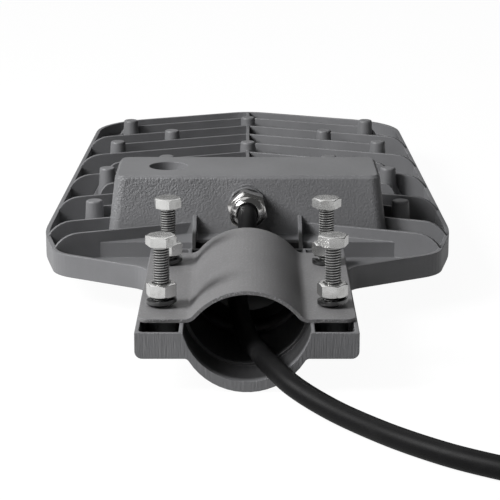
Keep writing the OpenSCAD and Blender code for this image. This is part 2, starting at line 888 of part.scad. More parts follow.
module gland_cap() {
    color(nickel)
        difference() {
            union() {
                gland_hex_block(cap_front, cap_y);
                translate([0, cap_front + eps, gland_z])
                    rotate([90, 0, 0])
                        cylinder(h = dome_l, r1 = gland_af / 2 - 1.5, r2 = cable_r + 1.4);
            }
            along_y(cap_front - 0.6, cap_y + 1)
                translate([0, gland_z]) circle(collar_r + fit_gap);
            along_y(cap_front - dome_l - 1, cap_y)
                translate([0, gland_z]) circle(cable_r + 0.4);
        }
}

module gland_seal() {
    color(black)
        gland_ring(cap_front - 0.5, body_y + 0.9, seal_r - 0.05, cable_r + 0.04);
}

module gland_o_ring() {
    color(black)
        gland_ring(body_y, gland_seat, gland_af / 2 - 0.2, gland_thread / 2 + 0.05);
}

module gland_locknut() {
    color(nickel)
        difference() {
            translate([0, gland_inside + lock_t, gland_z])
                rotate([90, 0, 0]) hex_block(gland_af, lock_t, false);
            along_y(gland_inside - 1, gland_inside + lock_t + 1)
                translate([0, gland_z]) circle(gland_thread / 2 + fit_gap);
        }
}

// ---------- cable ----------

// from the gland, under the saddle, along the trough, out of its mouth and over the ground
cable_route = [
    [0, 167, 9.5], [0, 156, 8.7], [0, 148, 6.1], [0, 140, 1.9], [-0.6, 130.5, -3.4],
    [-1.9, 119.5, -8.7], [-3.6, 108.5, -13.2], [-4.6, 99.8, -16.2], [-4.8, 91.6, -18.4],
    [-3.8, 82.4, -20.2], [-2.6, 70.4, -21.7], [-0.9, 56.6, -22.6], [0.7, 45.8, -22.8],
    [2.8, 34.6, -22.8], [5.4, 21.9, -22.2], [8.2, 7.9, -21.6], [11.5, -4, -21.3],
    [15.2, -13.3, -22.3], [19.9, -21.6, -24], [26.1, -29.4, -26], [33.5, -37.8, -27.9],
    [41.6, -47.4, -29.2], [51.1, -58.8, -29.9], [61.4, -71.6, -30], [72.9, -84.1, -30],
    [85.7, -96, -30], [100.6, -106.9, -30], [112.5, -114.2, -30], [125.8, -118.7, -30],
    [139.7, -119.6, -30], [153.4, -116.8, -30], [165.9, -110.4, -30]
];
module cable() {
    color(black) tube(cable_route, cable_d, 12, 2, start = [0, -1, 0]);
}

core_d = 2.6;
cable_way = [0.89, 0.456, 0];
module tail_core(route) { tube(route, core_d, 8, 2, start = cable_way); }
module tail_core_brown() {
    color([0.35, 0.2, 0.1])
        tail_core([[166.8, -111.7, -31], [172, -108.6, -31.6], [178, -106.7, -32.8], [185, -106.4, -33.6]]);
}
module tail_core_blue() {
    color([0.1, 0.25, 0.6])
        tail_core([[165.3, -108.9, -31], [169, -105.1, -31.6], [172.2, -99.6, -32.8], [173.9, -92.6, -33.6]]);
}
module tail_core_earth() {
    color([0.3, 0.6, 0.1])
        tail_core([[166.1, -110.3, -28.1], [170.6, -106.9, -28.6],
            [176.1, -102.7, -30.6], [182.2, -98.3, -33.2]]);
}

inner_end = thread_end + 2;
module cable_inner() {
    color(black)
        along_y(cable_route[0].y + eps, inner_end) translate([0, gland_z]) circle(cable_r);
}

// cores from the sheath's end to the top of the terminal block
lead_d = 2.2;
core_y = inner_end + 0.3;
core_down = terminal_z + terminal_h / 2 + 0.2;
term_y = gland_inside + 5.6;
side_ref = [0, 0.3, 1];
module mains_core_brown() {
    color([0.35, 0.2, 0.1])
        tube([
            [-2, core_y, gland_z - 1], [-3, core_y + 2.4, gland_z - 0.5], [-8, core_y + 3.4, gland_z + 1],
            [-15, core_y + 2.3, gland_z + 2.4], [-22, term_y + 1.2, gland_z + 2.6],
            [terminal_x + 8.8, term_y + 0.3, gland_z + 0.8], [terminal_x + 8, term_y, core_down + 2],
            [terminal_x + 8, term_y, core_down]
        ], lead_d, 8, 2, side_ref);
}
module mains_core_blue() {
    color([0.1, 0.25, 0.6])
        tube([
            [0.2, core_y, gland_z + 2.6], [-1, core_y + 2.6, gland_z + 3.2],
            [-7, core_y + 3.8, gland_z + 4.6],
            [-17, core_y + 3.2, gland_z + 5.8], [-27, term_y + 1.6, gland_z + 5.6],
            [terminal_x + 1.4, term_y + 0.5, gland_z + 3], [terminal_x, term_y, core_down + 2.4],
            [terminal_x, term_y, core_down]
        ], lead_d, 8, 2, side_ref);
}
module mains_core_earth() {
    color([0.3, 0.6, 0.1])
        tube([
            [2, core_y, gland_z - 2], [1.4, core_y + 2.4, gland_z - 3], [-4, core_y + 4, gland_z - 4],
            [-13, core_y + 4.2, gland_z - 3.4], [-22, core_y + 3.8, gland_z - 1.4],
            [-32, core_y + 3.6, gland_z - 0.4], [-40, term_y + 2.8, gland_z + 0.6],
            [terminal_x - 8, term_y + 0.5, gland_z + 0.6], [terminal_x - 8, term_y, core_down + 1.8],
            [terminal_x - 8, term_y, core_down]
        ], lead_d, 8, 2, side_ref);
}

// ---------- inside the driver box ----------

terminal_top = terminal_z + terminal_h / 2;
module terminal_block() {
    color([0.9, 0.88, 0.8])
        difference() {
            translate([terminal_x - terminal_w / 2, gland_inside + eps, terminal_z - terminal_h / 2])
                cube([terminal_w, terminal_d, terminal_h]);
            for (k = [-1, 0, 1])
                translate([terminal_x + 8 * k - 3.5, gland_inside + terminal_d - 2, terminal_z + 3])
                    cube([7, 3, 2]);
            translate([terminal_x, gland_inside - 1, terminal_z])
                rotate([-90, 0, 0]) cylinder(h = terminal_d + 2, r = small_screw_r + screw_gap);
        }
}

module terminal_screw() {
    color(zinc)
        translate([terminal_x, gland_inside - 3 + 2 * eps, terminal_z])
            rotate([-90, 0, 0]) {
                cylinder(h = terminal_d + 3, r = small_screw_r);
                translate([0, 0, terminal_d + 3]) cylinder(h = 1.4, r = 2.6);
            }
}

module led_driver() {
    color([0.85, 0.85, 0.86])
        difference() {
            union() {
                translate([-driver_l / 2, driver_y, driver_top - driver_h])
                    cube([driver_l, driver_d, driver_h]);
                translate([-driver_l / 2 - driver_ear, driver_y + driver_d / 2 - 8, driver_top - 2])
                    cube([driver_l + 2 * driver_ear, 16, 2]);
            }
            for (p = driver_screw_xy)
                translate([p.x, p.y, driver_top - 3]) cylinder(h = 4, r = screw_d / 2 + screw_gap);
        }
}

// pan head screw that points up, with its head's bearing face at height z
module screw_up(p, z, length, head_d) {
    translate([p.x, p.y, z]) {
        translate([0, 0, -head_d / 16]) cylinder(h = length + head_d / 16, d = screw_d);
        translate([0, 0, -head_d / 8]) cylinder(h = head_d / 8, d = head_d);
        translate([0, 0, -0.3 * head_d]) cylinder(h = 0.175 * head_d + eps, d1 = 0.75 * head_d, d2 = head_d);
    }
}

module driver_screws() {
    color(zinc)
        for (p = driver_screw_xy)
            screw_up(p, driver_top - 2, 1.5 * screw_d, screw_head);
}

// from the terminal block to the driver's left end
driver_end = driver_l / 2 + 0.2;
driver_mid = driver_y + driver_d / 2;
term_low = terminal_z - terminal_h / 2;
module driver_leads() {
    color([0.5, 0.5, 0.5])
        for (k = [0:2])
            translate([0, 0, 0])
                tube([
                    [terminal_x + 8 - 8 * k, term_y, term_low - 0.2],
                    [terminal_x + 7.5 - 8 * k, term_y + 0.2, term_low - 3 - k],
                    [terminal_x + 3 - 7 * k, term_y + 1.2, term_low - 6 - k],
                    [terminal_x - 9 - 4 * k, term_y + 3.6, term_low - 7 - 1.2 * k],
                    [-driver_end - 5, driver_mid - 11.8 - 2.4 * k, term_low - 7.4 - k],
                    [-driver_end - 9 - k, driver_mid - 2.8, term_low - 4 + 2 * k],
                    [-driver_end - 6 - 0.5 * k, driver_mid + 0.2, term_low + 3 * k],
                    [-driver_end, driver_mid + 0.2, term_low + 1 + 3 * k]
                ], 1.8, 8, 2, [0.2, 1, 0.3]);
}

// from the driver's right end through the duct to the LED boards
duct_y = box_y + box_d;
function lead_tail(s) = [
    [s * 1.5, duct_y + 10, plate_low + 3],
    [s * 1.5, tee_y - 14, plate_low + 3],
    [s * 1.6, tee_y - 5, plate_low + 3],
    [s * 1.9, tee_y + 0.4, plate_low + 2.9],
    [s * 5, tee_y + 2.8, plate_low + 2.4],
    [s * 9.5, tee_y + 3.1, plate_low + 1.4],
    [s * 12.4, tee_y + 4.2, plate_low - 1],
    [s * 13.6, tee_y + 6, plate_low - board_t - 1],
    [s * 14, tee_y + 9, plate_low - board_t - 1.2]
];
module led_lead_red() {
    color([0.7, 0.05, 0.05])
        tube(concat([
            [driver_end, driver_mid + 0.2, driver_top - 18],
            [driver_end + 5, driver_mid + 0.7, driver_top - 18.6],
            [driver_end + 8, driver_mid + 4.2, driver_top - 23],
            [driver_end + 6, duct_y - 10, driver_top - 29],
            [48, duct_y - 4, plate_low + 2.4], [30, duct_y - 1.4, plate_low + 2.2],
            [12, duct_y - 0.6, plate_low + 2.4], [3, duct_y + 2, plate_low + 2.8]
        ], lead_tail(1)), 1.8, 8, 2, [0.3, 0.2, 1]);
}
module led_lead_black() {
    color(black)
        tube(concat([
            [driver_end, driver_mid + 6.2, driver_top - 12],
            [driver_end + 6, driver_mid + 6.7, driver_top - 13],
            [driver_end + 12, driver_mid + 8.2, driver_top - 19],
            [driver_end + 11, duct_y - 8, driver_top - 27],
            [50, duct_y - 1.6, plate_low + 5], [30, duct_y + 1, plate_low + 4.6],
            [10, duct_y + 1.6, plate_low + 4.6], [0, duct_y + 3.4, plate_low + 4.4]
        ], lead_tail(-1)), 1.8, 8, 2, [0.3, 0.2, 1]);
}
module board_link() {
    half = [
        [19, tee_y + 9, plate_low - board_t - 1.2], [18.4, tee_y + 6, plate_low - board_t - 1],
        [16, tee_y + 4.4, plate_low - 1], [12.4, tee_y + 4, plate_low + 2.6],
        [8, tee_y + 3.6, plate_low + 5.2]
    ];
    color([0.7, 0.05, 0.05])
        tube(concat(
            half,
            [[0, tee_y + 3.6, plate_low + 5.4]],
            [for (i = [4:-1:0]) [-half[i].x, half[i].y, half[i].z]]
        ), 1.8, 8, 2, [0, 1, 0.2]);
}

// ---------- underside ----------

cover_pts = rounded(mirrored4([
    [shelf_screw.x + 14, shelf_y + 2, 6, 3],
    [stud_side[0].x + 11.8, box_y + 2, 12, 3],
    [stud_side[0].x + 11.8, box_y + box_d + 2, 12, 3],
    [board_screw_x + 19, cover_far, 6, 3]
]));

module driver_cover() {
    color(cast_grey)
        difference() {
            translate([0, 0, cover_low]) linear_extrude(cover_t) polygon(cover_pts);
            for (p = cover_xy)
                translate([p.x, p.y, cover_low - 1]) cylinder(h = cover_t + 2, r = screw_d / 2 + screw_gap);
        }
}

module cover_gasket() {
    half = box_half(plate_low) - box_wall;
    rear = box_rear(plate_low) + box_wall;
    far = box_far(plate_low) - box_wall;
    color(black)
        translate([0, 0, cover_top])
            linear_extrude(gasket_t)
                difference() {
                    round_rect([-half - 6, rear - 6], [half + 6, far + 6], 8);
                    round_rect([-half - 2.5, rear - 2.5], [half + 2.5, far + 2.5], 4.5);
                }
}

module cover_screws() {
    color(zinc)
        for (p = cover_xy)
            screw_up(p, cover_low, cover_t + gasket_t + 1.75 * screw_d, screw_head);
}

// window of the lens on one side, s = -1 left and 1 right, grown by d
module window(s, d) {
    x0 = bar_w / 2;
    a = s > 0 ? x0 - d : -x0 - window_w - d;
    b = s > 0 ? x0 + window_w + d : -x0 + d;
    round_rect([a, window_y - window_l / 2 - d], [b, window_y + window_l / 2 + d], 3);
}

ledge = 3;
frame_pts = rounded(mirrored4([
    [window_x + 20, frame_near, 8, 4],
    [window_x + 20, window_y + window_l / 2 - 24, 30, 3],
    [window_x + 15, window_y + window_l / 2 + 20, 8, 4]
]));

module lens_frame() {
    color(cast_grey)
        difference() {
            union() {
                translate([0, 0, frame_low + 2])
                    linear_extrude(plate_low - frame_low - 2) polygon(frame_pts);
                hull() {
                    translate([0, 0, frame_low]) linear_extrude(0.5) polygon(inset(frame_pts, 1.6));
                    translate([0, 0, frame_low + 1.8]) linear_extrude(0.2) polygon(frame_pts);
                }
            }
            for (s = [-1, 1]) {
                translate([0, 0, frame_low - 1]) linear_extrude(10) window(s, 0);
                translate([0, 0, lens_low]) linear_extrude(10) window(s, ledge);
            }
            for (p = frame_xy)
                translate([p.x, p.y, frame_low - 1])
                    cylinder(h = plate_low - frame_low + 2, r = screw_d / 2 + screw_gap);
        }
}

module frame_screws() {
    color(zinc)
        for (p = frame_xy)
            screw_up(p, frame_low, plate_low - frame_low + 2 * screw_d, screw_head);
}

// places of the lenses in one window: columns by their pitch, rows spread over its length
row_pitch = (window_l - 30.5) / (lens_rows - 1);
function lens_xy(s) = [
    for (i = [0:lens_cols - 1], j = [0:lens_rows - 1])
        [s * (bar_w / 2 + window_w / 2 + (i - (lens_cols - 1) / 2) * lens_pitch),
            window_y + (j - (lens_rows - 1) / 2) * row_pitch]
];

module lens(s) {
    color([0.9, 0.93, 0.95])
        difference() {
            union() {
                translate([0, 0, lens_low]) linear_extrude(lens_t) window(s, ledge - 0.5);
                for (p = lens_xy(s))
                    translate([p.x, p.y, lens_top]) sphere(dome_r, $fn = 40);
            }
            translate([-bar_w - window_w, 0, lens_top]) cube([2 * bar_w + 2 * window_w, 2 * window_y, 20]);
            for (p = lens_xy(s))
                translate([p.x, p.y, lens_top]) sphere(dome_r - 4.6, $fn = 32);
        }
}
module lens_left() { lens(-1); }
module lens_right() { lens(1); }

module lens_gasket() {
    color([0.8, 0.8, 0.8])
        for (s = [-1, 1])
            translate([0, 0, lens_top])
                linear_extrude(lens_gap)
                    difference() {
                        window(s, ledge - 0.7);
                        window(s, -0.8);
                    }
}

module led_board(s) {
    color([0.92, 0.92, 0.9])
        difference() {
            translate([0, 0, plate_low - board_t])
                linear_extrude(board_t)
                    round_rect(
                        [s > 0 ? bar_w / 2 + 2.5 : -bar_w / 2 - window_w + 2.5, tee_y + tee_l + 1],
                        [s > 0 ? bar_w / 2 + window_w - 2.5 : -bar_w / 2 - 2.5, window_y + window_l / 2 - 3],
                        2);
            for (p = board_xy)
                translate([p.x, p.y, plate_low - board_t - 1])
                    cylinder(h = board_t + 2, r = screw_d / 2 + screw_gap);
        }
}
module led_board_left() { led_board(-1); }
module led_board_right() { led_board(1); }

led_w = 5;
led_h = 0.8;
module leds(s) {
    color([0.95, 0.85, 0.3])
        for (p = lens_xy(s))
            translate([p.x - led_w / 2, p.y - led_w / 2, plate_low - board_t - led_h])
                cube([led_w, led_w, led_h]);
}
module leds_left() { leds(-1); }
module leds_right() { leds(1); }

module board_screws() {
    color(zinc)
        for (p = board_xy)
            screw_up(p, plate_low - board_t, 2 * screw_d, 0.75 * screw_head);
}

housing();
saddle();
clamp_bolts();
spring_washers();
nut_front_left();
nut_front_right();
nut_rear_left();
nut_rear_right();
gland_body();
gland_cap();
gland_seal();
gland_o_ring();
gland_locknut();
cable();
tail_core_brown();
tail_core_blue();
tail_core_earth();
cable_inner();
mains_core_brown();
mains_core_blue();
mains_core_earth();
terminal_block();
terminal_screw();
led_driver();
driver_screws();
driver_leads();
led_lead_red();
led_lead_black();
board_link();
driver_cover();
cover_gasket();
cover_screws();
led_board_left();
led_board_right();
leds_left();
leds_right();
board_screws();
lens_left();
lens_right();
lens_gasket();
lens_frame();
frame_screws();
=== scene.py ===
import math
import bpy
from mathutils import Matrix, Vector


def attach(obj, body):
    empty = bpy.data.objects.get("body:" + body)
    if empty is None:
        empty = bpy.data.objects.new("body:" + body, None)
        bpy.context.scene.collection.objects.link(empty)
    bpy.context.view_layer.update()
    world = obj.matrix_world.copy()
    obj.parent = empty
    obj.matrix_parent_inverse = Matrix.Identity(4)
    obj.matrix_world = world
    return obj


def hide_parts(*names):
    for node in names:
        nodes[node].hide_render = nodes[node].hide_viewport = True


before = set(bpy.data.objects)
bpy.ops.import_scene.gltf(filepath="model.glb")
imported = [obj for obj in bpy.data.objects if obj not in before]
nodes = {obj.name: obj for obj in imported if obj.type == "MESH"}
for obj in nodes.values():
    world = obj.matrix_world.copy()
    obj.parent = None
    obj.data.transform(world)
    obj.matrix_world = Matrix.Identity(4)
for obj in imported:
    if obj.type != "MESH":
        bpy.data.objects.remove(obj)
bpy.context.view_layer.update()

# Viewpoint of the photograph: about 0.8 m in front of the clamp's mouth, looking along the pole
# towards the head and a little down. Calibrated on the bolts, the driver box and the rim.
bpy.ops.object.camera_add(location=(0.0014, -0.8154, 0.2446), rotation=(math.radians(75.4), 0, 0))
camera = bpy.context.object
camera.data.lens = 135.36
camera.data.sensor_width = 36
bpy.context.scene.camera = camera

# Supply cable: three cores in a matt black rubber sheath, 10 mm thick, extruded. It comes out of
# the gland, drops under the saddle into the trough and runs out over the ground.


class Value:
    """A shader socket. Operators on it add Math nodes to its material."""

    def __init__(self, finish, socket):
        self.finish, self.socket = finish, socket

    def maths(self, operation, *terms):
        return self.finish.node("ShaderNodeMath", {"operation": operation}, dict(enumerate(terms)))

    def __add__(self, other):
        return self.maths("ADD", self, other)

    def __sub__(self, other):
        return self.maths("SUBTRACT", self, other)

    def __rsub__(self, other):
        return self.maths("SUBTRACT", other, self)

    def __mul__(self, other):
        return self.maths("MULTIPLY", self, other)

    def __abs__(self):
        return self.maths("ABSOLUTE", self)

    __radd__ = __add__
    __rmul__ = __mul__

    def fade(self, low, high):
        """0 below low, 1 above high and smooth between; low may be the greater one."""
        return self.finish.node(
            "ShaderNodeMapRange", {"interpolation_type": "SMOOTHSTEP"},
            {"Value": self, "From Min": low, "From Max": high})


class Finish:
    """A material with Principled shading, a broad and a fine noise, and a bump made of them."""

    def __init__(self, name, colour, roughness, metallic=0.0, grain=0.5, depth=0.01, spread=0.06):
        self.material = bpy.data.materials.new(name)
        self.material.use_nodes = True
        self.tree = self.material.node_tree
        self.shader = self.tree.nodes["Principled BSDF"]
        self.place = self.node("ShaderNodeTexCoord", out="Object")
        self.broad = self.noise(grain * 45, 3)
        self.fine = self.noise(grain, 2)
        self.colour = self.mix(
            self.broad.fade(0.3, 0.7),
            [c * (1 - spread) for c in colour], [c * (1 + spread) for c in colour])
        self.roughness = roughness - 0.08 + 0.1 * self.broad + 0.06 * self.fine
        self.height = self.fine * depth
        self.normal = None
        self.shader.inputs["Metallic"].default_value = metallic

    def node(self, kind, settings=None, sockets=None, out=0):
        node = self.tree.nodes.new(kind)
        for key, value in (settings or {}).items():
            setattr(node, key, value)
        for key, value in (sockets or {}).items():
            self.join(node.inputs[key], value)
        return Value(self, node.outputs[out])

    def join(self, socket, value):
        if isinstance(value, Value):
            self.tree.links.new(value.socket, socket)
        else:
            socket.default_value = value

    def noise(self, size, detail, stretch=(1, 1, 1)):
        """Noise with grains of about size millimetres, drawn out along an axis by stretch."""
        vector = self.place
        if stretch != (1, 1, 1):
            vector = self.node(
                "ShaderNodeVectorMath", {"operation": "MULTIPLY"}, {0: self.place, 1: stretch})
        return self.node("ShaderNodeTexNoise", None, {
            "Vector": vector, "Scale": 1000 / size, "Detail": detail, "Roughness": 0.5})

    def mix(self, factor, low, high):
        """Colour between low and high."""
        colours = [c if isinstance(c, Value) else (*c[:3], 1) for c in (low, high)]
        return self.node(
            "ShaderNodeMix", {"data_type": "RGBA"}, {0: factor, 6: colours[0], 7: colours[1]}, out=2)

    def axis(self, name):
        """One coordinate of the object, in metres."""
        return self.node("ShaderNodeSeparateXYZ", None, {0: self.place}, out=name)

    def soft_edges(self, radius, rub_and_highlight, rubbed_and_lit_colour):
        """Rounds the look of sharp edges by radius in millimetres, and paints them lighter in patches: partly
        rubbed coat, partly a painted highlight.
        """
        self.normal = self.node("ShaderNodeBevel", {"samples": 6}, {"Radius": radius / 1000})
        straight = self.node("ShaderNodeNewGeometry", out="Normal")
        facing = self.node(
            "ShaderNodeVectorMath", {"operation": "DOT_PRODUCT"}, {0: self.normal, 1: straight}, out="Value")
        edge = (1 - facing).fade(0.005, 0.12)
        self.colour = self.mix(edge * self.broad.fade(0.25, 0.75) * rub_and_highlight, self.colour, rubbed_and_lit_colour)

    def done(self):
        self.join(self.shader.inputs["Base Color"], self.colour)
        self.join(self.shader.inputs["Roughness"], self.roughness)
        sockets = {"Height": self.height, "Distance": 0.001}
        if self.normal:
            sockets["Normal"] = self.normal
        self.join(self.shader.inputs["Normal"], self.node("ShaderNodeBump", None, sockets))
        return self.material


def smooth_route(points, steps):
    """Points along a smooth curve through the route's points, given in millimetres."""
    route = [Vector(p) / 1000 for p in points]
    ends = [2 * route[0] - route[1]] + route + [2 * route[-1] - route[-2]]
    way = []
    for a, b, c, d in zip(ends, ends[1:], ends[2:], ends[3:]):
        for k in range(steps):
            t = k / steps
            way.append(0.5 * (2 * b + (c - a) * t + (2 * a - 5 * b + 4 * c - d) * t * t
                              + (3 * b - a - 3 * c + d) * t * t * t))
    return way + [route[-1]]


def cord_curve(name, way, thickness, material):
    """A round cord of that thickness in metres along the points of way."""
    data = bpy.data.curves.new(name, "CURVE")
    data.dimensions = "3D"
    data.bevel_depth = thickness / 2
    data.bevel_resolution = 6
    data.use_fill_caps = True
    spline = data.splines.new("POLY")
    spline.points.add(len(way) - 1)
    for point, place in zip(spline.points, way):
        point.co = (*place, 1)
    data.materials.append(material)
    cord = bpy.data.objects.new(name, data)
    bpy.context.scene.collection.objects.link(cord)
    return cord


rubber = Finish("cable_rubber", (0.005, 0.005, 0.0053), 0.5, grain=0.7, depth=0.03, spread=0.12)
dust = rubber.noise(9, 4).fade(0.52, 0.75)
rubber.colour = rubber.mix(dust * 0.35, rubber.colour, (0.018, 0.018, 0.018))
rubber.roughness = rubber.roughness + 0.1 * dust
rubber.shader.inputs["Specular IOR Level"].default_value = 0.12
cable = cord_curve("supply_cable", smooth_route([
    (0, 167, 9.5), (0, 156, 8.7), (0, 148, 6.1), (0, 140, 1.9), (-0.6, 130.5, -3.4),
    (-1.9, 119.5, -8.7), (-3.6, 108.5, -13.2), (-4.6, 99.8, -16.2), (-4.8, 91.6, -18.4),
    (-3.8, 82.4, -20.2), (-2.6, 70.4, -21.7), (-0.9, 56.6, -22.6), (0.7, 45.8, -22.8),
    (2.8, 34.6, -22.8), (5.4, 21.9, -22.2), (8.2, 7.9, -21.6), (11.5, -4, -21.3),
    (15.2, -13.3, -22.3), (19.9, -21.6, -24), (26.1, -29.4, -26), (33.5, -37.8, -27.9),
    (41.6, -47.4, -29.2), (51.1, -58.8, -29.9), (61.4, -71.6, -30), (72.9, -84.1, -30),
    (85.7, -96, -30), (100.6, -106.9, -30), (112.5, -114.2, -30), (125.8, -118.7, -30),
    (139.7, -119.6, -30), (153.4, -116.8, -30), (165.9, -110.4, -30)], 6), 0.010, rubber.done())
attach(cable, "housing")
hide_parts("cable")

# Cores of the cable's bare end: brown, blue and green-yellow insulation over stranded copper,
# cut back by hand for the joint to the mains, with some millimetres of copper left bare.
earth_green, earth_yellow = (0.06, 0.24, 0.03), (0.75, 0.6, 0.03)
copper_width, core_width = 0.0015, 0.0026
copper = Finish("bare_copper", (0.62, 0.27, 0.13), 0.32, 1.0, grain=0.3, depth=0.03, spread=0.15)
copper.height = copper.height + 0.08 * copper.noise(0.35, 1, (0.2, 0.2, 1))
copper.done()
brown = Finish("core_brown", (0.12, 0.05, 0.025), 0.42, grain=0.4, depth=0.01)
blue = Finish("core_blue", (0.02, 0.09, 0.36), 0.42, grain=0.4, depth=0.01)
green = Finish("core_green", earth_green, 0.42, grain=0.4, depth=0.01)
around = green.node("ShaderNodeSeparateXYZ", None, {0: green.node("ShaderNodeUVMap")}, out="Y")
stripe = abs(around - 0.5).fade(0.17, 0.16)
green.colour = green.mix(stripe, green.colour, earth_yellow)
for word, insulation, points in (
        ("brown", brown, [
            (166.8, -111.7, -31), (172, -108.6, -31.6), (178, -106.7, -32.8), (185, -106.4, -33.6)]),
        ("blue", blue, [
            (165.3, -108.9, -31), (169, -105.1, -31.6), (172.2, -99.6, -32.8), (173.9, -92.6, -33.6)]),
        ("green", green, [
            (166.1, -110.3, -28.1), (170.6, -106.9, -28.6), (176.1, -102.7, -30.6), (182.2, -98.3, -33.2)])):
    insulation.done()
    slot = "core_" + word
    way = smooth_route(points, 10)
    before = way[0] - (way[1] - way[0])
    bare = cord_curve("copper_" + word, way[-10:], copper_width, copper.material)
    sleeve = cord_curve(slot, [before] + way[:-8], core_width, insulation.material)
    for piece in (bare, sleeve):
        bpy.ops.object.select_all(action="DESELECT")
        piece.select_set(True)
        bpy.context.view_layer.objects.active = piece
        bpy.ops.object.convert(target="MESH")
        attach(piece, "housing")
    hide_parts("tail_core_" + ("earth" if word == "green" else word))

# Housing: one high-pressure die casting of aluminium with a textured grey powder coat, rippled on
# the driver box's wall and ground off on the clamp's front faces; inside the trough its colour is
# painted shade. The saddle and the driver cover are sheet steel, sheared, pressed and coated more thinly.
coat = Finish("cast_grey", (0.165, 0.166, 0.172), 0.46, grain=0.7, depth=0.03, spread=0.07)
x, y, z = coat.axis("X"), coat.axis("Y"), coat.axis("Z")
rear_wall = (y.fade(0.178, 0.182) * y.fade(0.1885, 0.1875) * z.fade(-0.006, 0.0)
             * abs(x).fade(0.079, 0.077))
upper_left = (0.075 - x).fade(0.02, 0.14) * z.fade(-0.004, 0.022)
peel = coat.noise(1.15, 1) + 0.4 * coat.noise(0.6, 1)
ground = y.fade(0.0012, 0.0006) * coat.noise(0.9, 2, (1, 1, 0.1))
coat.height = (coat.height + 0.04 * peel + rear_wall * (0.35 + 0.8 * upper_left) * peel * 0.5
               + 0.3 * ground)
# Edges painted lighter in patches: partly rubbed coat, partly a painted highlight.
coat.soft_edges(0.7, 0.5, (0.30, 0.30, 0.31))
streak = coat.noise(5, 4, (1, 1, 0.3)).fade(0.45, 0.75)
coat.colour = coat.mix(streak * 0.18, coat.colour, (0.13, 0.13, 0.135))
coat.colour = coat.mix(ground.fade(0.5, 0.7) * 0.3, coat.colour, (0.24, 0.24, 0.245))
# Painted shade: inside the bore of the trough the coat's colour goes nearly black, a little darker still
# further in, where the clamp shades itself.
bore_radius, shade_fade_width = 0.0299, 0.0006
painted_trough_shade = ((x * x + z * z).fade((bore_radius + shade_fade_width) ** 2, bore_radius ** 2)
          * y.fade(0.0004, 0.006) * y.fade(0.172, 0.166) * z.fade(0.004, 0.001))
coat.colour = coat.mix(painted_trough_shade * (0.88 + 0.11 * y.fade(0.02, 0.05)), coat.colour, (0.008, 0.008, 0.008))
coat.done()
thin_coat = Finish("sheet_grey", (0.168, 0.166, 0.169), 0.5, grain=0.8, depth=0.15, spread=0.06)
speckle = thin_coat.noise(0.9, 2).fade(0.52, 0.72)
# The saddle's front face is speckled lighter: partly a rough sheared edge, partly a painted highlight.
sheared_and_highlit = thin_coat.axis("Y").fade(0.0163, 0.0160)
# Edges painted lighter in patches: partly rubbed coat, partly a painted highlight.
thin_coat.soft_edges(0.4, 0.7, (0.33, 0.33, 0.34))
thin_coat.colour = thin_coat.mix(speckle * (0.3 + 0.6 * sheared_and_highlit), thin_coat.colour, (0.36, 0.36, 0.37))
thin_coat.height = thin_coat.height + 0.2 * sheared_and_highlit * speckle
thin_coat.done()


def dressed(finish, *names):
    """Puts a finish on the CAD pieces with these names."""
    for name in names:
        for material_slot in nodes[name].material_slots:
            material_slot.material = finish.material


dressed(coat, "housing", "lens_frame")
dressed(thin_coat, "saddle", "driver_cover")

# Clamp bolts: M8 x 40 hexagon bolts, cold headed and thread rolled in steel, bright zinc plated,
# screwed through the saddle into the tapped bosses of the ears.
bolt_x, front_y, rear_y = 40.4, 39, 116.4
places = {
    "front_left": (-bolt_x, front_y), "front_right": (bolt_x, front_y),
    "rear_left": (-bolt_x, rear_y), "rear_right": (bolt_x, rear_y)}
zinc = Finish("zinc_steel", (0.72, 0.72, 0.71), 0.2, 0.88, grain=0.6, depth=0.002, spread=0.08)
haze = zinc.noise(3, 4).fade(0.4, 0.8)
zinc.colour = zinc.mix(haze * 0.4, zinc.colour, (0.50, 0.49, 0.47))
zinc.roughness = zinc.roughness + 0.1 * haze
# Painted shade: the thread roots below the bolt heads are darkened nearly to black and made rougher.
across = abs(zinc.axis("X")) - bolt_x / 1000
along = abs(zinc.axis("Y") - (rear_y + front_y) / 2000) - (rear_y - front_y) / 2000
groove_painted_shade = ((across * across + along * along).fade(0.0038 ** 2, 0.0034 ** 2)
          * zinc.axis("Z").fade(0.0245, 0.0241))
zinc.colour = zinc.mix(groove_painted_shade * 0.95, zinc.colour, (0.02, 0.02, 0.02))
zinc.roughness = zinc.roughness + 0.3 * groove_painted_shade
zinc.done()
origin, up = (0, 0, 0), (0, 0, 1)
smooth_below = math.radians(35)
weld = 0.000002


def outline(name, points):
    """A line drawn through points, one vertex pulled out of the last; edit mode is left on."""
    bpy.ops.object.select_all(action="DESELECT")
    bpy.ops.mesh.primitive_plane_add(size=0.001, location=(0, 0, 0))
    piece = bpy.context.object
    piece.name = name
    bpy.ops.object.mode_set(mode="EDIT")
    bpy.ops.mesh.select_all(action="SELECT")
    bpy.ops.mesh.merge(type="CENTER")
    bpy.ops.transform.translate(value=points[0])
    for a, b in zip(points, points[1:]):
        bpy.ops.mesh.extrude_vertices_move(TRANSFORM_OT_translate={"value": b - a})
    return piece


def closed_up(piece):
    """Merges the seam of a piece in edit mode, turns its faces out and smooths its round faces."""
    bpy.ops.mesh.select_all(action="SELECT")
    bpy.ops.mesh.remove_doubles(threshold=weld)
    bpy.ops.mesh.normals_make_consistent(inside=False)
    bpy.ops.object.mode_set(mode="OBJECT")
    bpy.ops.object.shade_smooth_by_angle(angle=smooth_below)
    return piece


